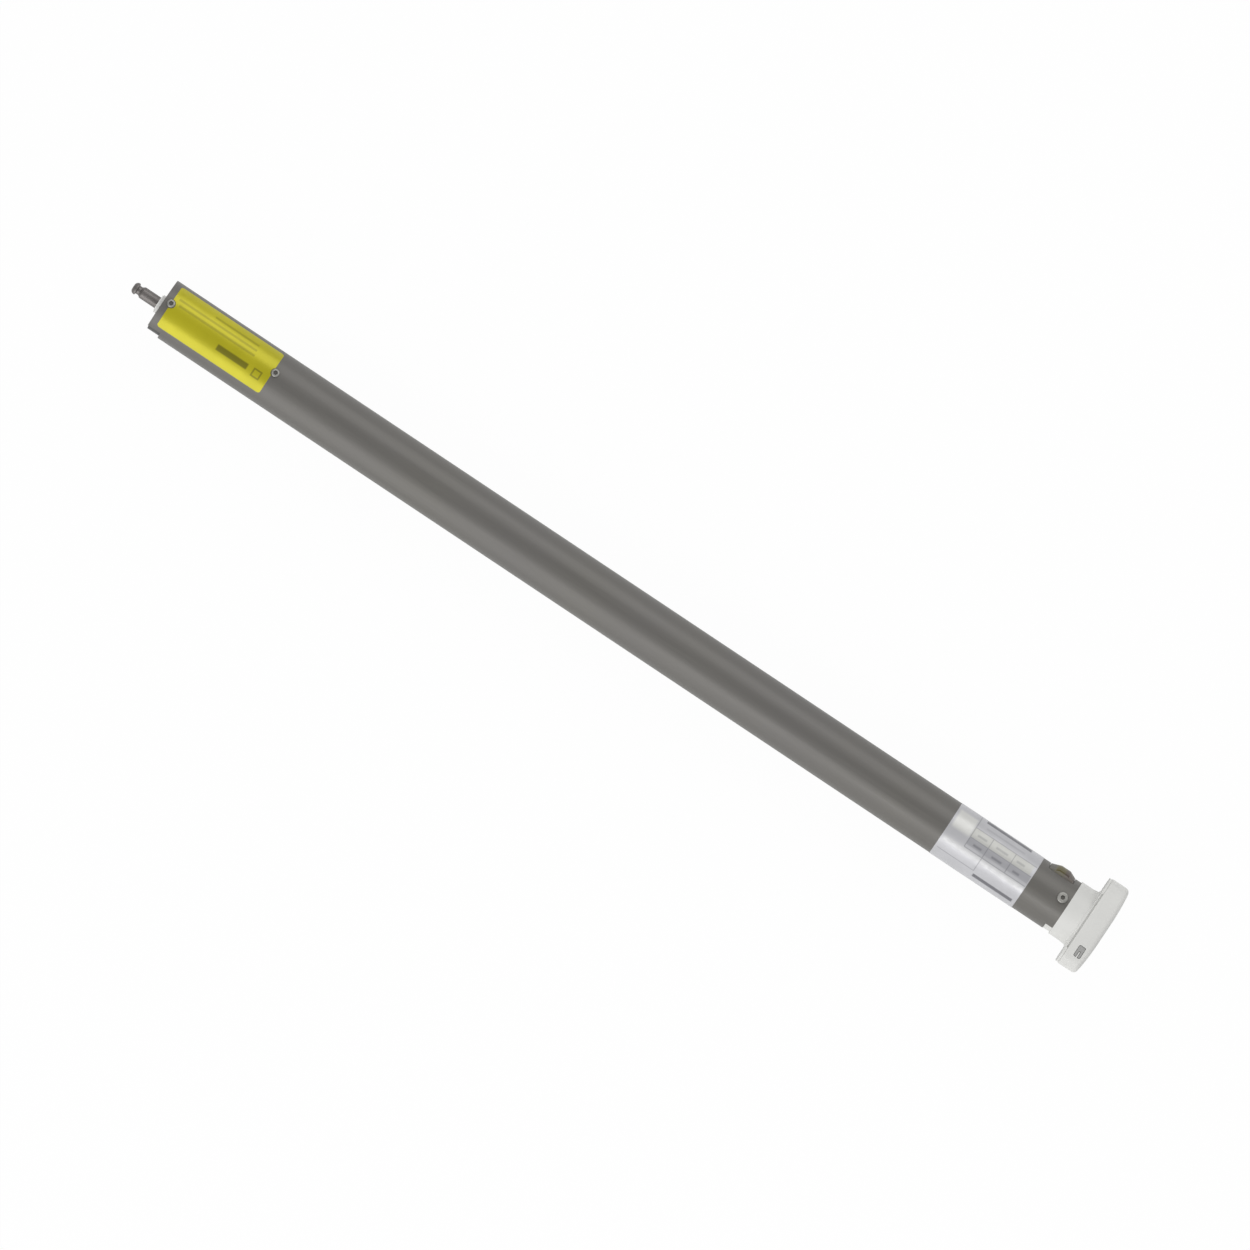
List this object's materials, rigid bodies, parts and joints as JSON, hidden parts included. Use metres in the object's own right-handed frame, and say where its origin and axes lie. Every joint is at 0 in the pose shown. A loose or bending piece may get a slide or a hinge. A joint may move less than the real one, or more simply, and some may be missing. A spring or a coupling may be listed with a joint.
{
  "type": "tubular roller blind motor",
  "caption": "Slim battery-powered tubular motor that lies inside a roller blind's tube and turns it, with a bracket head at one end and a drive shaft at the other.",
  "frame": {"origin": "middle of the flat outer face of the head, on the motor's axis", "axes": "+X out of the head along the motor's axis, +Y towards the crown latch, +Z towards the button"},
  "size_m": [0.5536, 0.0474, 0.0312],
  "materials": {
    "tube_paint": "satin",
    "yellow_film": "satin",
    "silver_film": "satin",
    "white_shell": "matte",
    "button_grey": "matte",
    "zinc_steel": "satin",
    "insert_brass": "satin",
    "black_plastic": "matte",
    "switch_plastic": "matte",
    "board_green": "satin",
    "chip_black": "matte",
    "light_pipe": "gloss",
    "latch_plastic": "matte",
    "wear_bronze": "satin",
    "spring_steel": "satin",
    "tray_plastic": "matte",
    "cell_jacket": "satin",
    "nickel": "polished",
    "lead_red": "satin",
    "can_steel": "satin",
    "ferrite": "matte",
    "carbon": "matte",
    "bronze": "satin",
    "copper": "gloss",
    "core_steel": "satin",
    "gear_steel": "satin",
    "zinc_casting": "satin",
    "damper_rubber": "matte",
    "bush_plastic": "satin"
  },
  "bodies": {
    "housing": {"housing_tube": "tube_paint", "yellow_label": "yellow_film", "rating_label": "silver_film", "tube_screws": "zinc_steel", "head_body": "white_shell", "head_cover": "white_shell", "cover_screws": "zinc_steel", "bracket_inserts": "insert_brass", "tact_switch": "switch_plastic", "head_board": "board_green", "charge_socket": "zinc_steel", "socket_tongue": "black_plastic", "status_light": "light_pipe", "latch_spring": "spring_steel", "battery_tray": "tray_plastic", "battery_cell_1": "cell_jacket", "battery_cell_2": "cell_jacket", "battery_cell_3": "cell_jacket", "cell_links": "nickel", "battery_wires": "lead_red", "board_tray": "tray_plastic", "main_board": "board_green", "board_parts": "chip_black", "motor_wires": "lead_red", "motor_can": "can_steel", "motor_magnets": "ferrite", "motor_end_bell": "black_plastic", "motor_brushes": "carbon", "motor_bushes": "bronze", "motor_mount": "zinc_casting", "mount_screws": "zinc_steel", "damper_ring": "damper_rubber", "encoder_board": "board_green", "ring_gear": "gear_steel", "output_bearing": "bronze", "end_cap": "black_plastic", "shaft_bush": "bush_plastic"},
    "output": {"output_shaft": "gear_steel", "output_carrier": "gear_steel"},
    "carrier_2": {"carrier_2": "gear_steel"},
    "carrier_1": {"carrier_1": "gear_steel"},
    "rotor": {"rotor_shaft": "gear_steel", "rotor_core": "core_steel", "rotor_windings": "copper", "commutator": "copper", "motor_pinion": "gear_steel", "encoder_magnet": "ferrite"},
    "latch": {"crown_latch": "latch_plastic", "latch_plate": "wear_bronze"},
    "button": {"prog_button": "button_grey", "switch_plunger": "switch_plastic"},
    "planet_1_1": {"planet_1_1": "gear_steel"},
    "planet_1_2": {"planet_1_2": "gear_steel"},
    "planet_1_3": {"planet_1_3": "gear_steel"},
    "planet_2_1": {"planet_2_1": "gear_steel"},
    "planet_2_2": {"planet_2_2": "gear_steel"},
    "planet_2_3": {"planet_2_3": "gear_steel"},
    "planet_3_1": {"planet_3_1": "gear_steel"},
    "planet_3_2": {"planet_3_2": "gear_steel"},
    "planet_3_3": {"planet_3_3": "gear_steel"}
  },
  "joints": [
    {"name": "output_turn", "type": "hinge", "parent": "housing", "child": "output", "pos_m": [-0.517, 0, 0], "axis": [1, 0, 0], "continuous": true},
    {"name": "carrier_2_turn", "type": "hinge", "parent": "housing", "child": "carrier_2", "pos_m": [-0.5052, 0, 0], "axis": [1, 0, 0], "continuous": true},
    {"name": "carrier_1_turn", "type": "hinge", "parent": "housing", "child": "carrier_1", "pos_m": [-0.4934, 0, 0], "axis": [1, 0, 0], "continuous": true},
    {"name": "rotor_turn", "type": "hinge", "parent": "housing", "child": "rotor", "pos_m": [-0.45, 0, 0], "axis": [1, 0, 0], "continuous": true},
    {"name": "planet_1_1_turn", "type": "hinge", "parent": "carrier_1", "child": "planet_1_1", "pos_m": [-0.486, 0, 0.00675], "axis": [1, 0, 0], "continuous": true},
    {"name": "planet_1_2_turn", "type": "hinge", "parent": "carrier_1", "child": "planet_1_2", "pos_m": [-0.486, -0.00585, -0.00337], "axis": [1, 0, 0], "continuous": true},
    {"name": "planet_1_3_turn", "type": "hinge", "parent": "carrier_1", "child": "planet_1_3", "pos_m": [-0.486, 0.00585, -0.00337], "axis": [1, 0, 0], "continuous": true},
    {"name": "planet_2_1_turn", "type": "hinge", "parent": "carrier_2", "child": "planet_2_1", "pos_m": [-0.4978, 0, 0.00675], "axis": [1, 0, 0], "continuous": true},
    {"name": "planet_2_2_turn", "type": "hinge", "parent": "carrier_2", "child": "planet_2_2", "pos_m": [-0.4978, -0.00585, -0.00337], "axis": [1, 0, 0], "continuous": true},
    {"name": "planet_2_3_turn", "type": "hinge", "parent": "carrier_2", "child": "planet_2_3", "pos_m": [-0.4978, 0.00585, -0.00337], "axis": [1, 0, 0], "continuous": true},
    {"name": "planet_3_1_turn", "type": "hinge", "parent": "output", "child": "planet_3_1", "pos_m": [-0.5096, 0, 0.00675], "axis": [1, 0, 0], "continuous": true},
    {"name": "planet_3_2_turn", "type": "hinge", "parent": "output", "child": "planet_3_2", "pos_m": [-0.5096, -0.00585, -0.00337], "axis": [1, 0, 0], "continuous": true},
    {"name": "planet_3_3_turn", "type": "hinge", "parent": "output", "child": "planet_3_3", "pos_m": [-0.5096, 0.00585, -0.00337], "axis": [1, 0, 0], "continuous": true},
    {"name": "latch_slide", "type": "slide", "parent": "housing", "child": "latch", "axis": [0, 1, 0], "range_m": [-0.0018, 0], "stiffness_N_per_m": 1200, "deforming": ["latch_spring"]},
    {"name": "button_press", "type": "slide", "parent": "housing", "child": "button", "axis": [0, 0, 1], "range_m": [-0.0005, 0], "stiffness_N_per_m": 400}
  ],
  "couplings": [
    {"joint": "carrier_2_turn", "follows": "output_turn", "ratio": 4.5},
    {"joint": "carrier_1_turn", "follows": "output_turn", "ratio": 20.25},
    {"joint": "rotor_turn", "follows": "output_turn", "ratio": 91.125},
    {"joint": "planet_1_1_turn", "follows": "output_turn", "ratio": -56.7},
    {"joint": "planet_1_2_turn", "follows": "output_turn", "ratio": -56.7},
    {"joint": "planet_1_3_turn", "follows": "output_turn", "ratio": -56.7},
    {"joint": "planet_2_1_turn", "follows": "output_turn", "ratio": -12.6},
    {"joint": "planet_2_2_turn", "follows": "output_turn", "ratio": -12.6},
    {"joint": "planet_2_3_turn", "follows": "output_turn", "ratio": -12.6},
    {"joint": "planet_3_1_turn", "follows": "output_turn", "ratio": -2.8},
    {"joint": "planet_3_2_turn", "follows": "output_turn", "ratio": -2.8},
    {"joint": "planet_3_3_turn", "follows": "output_turn", "ratio": -2.8}
  ]
}
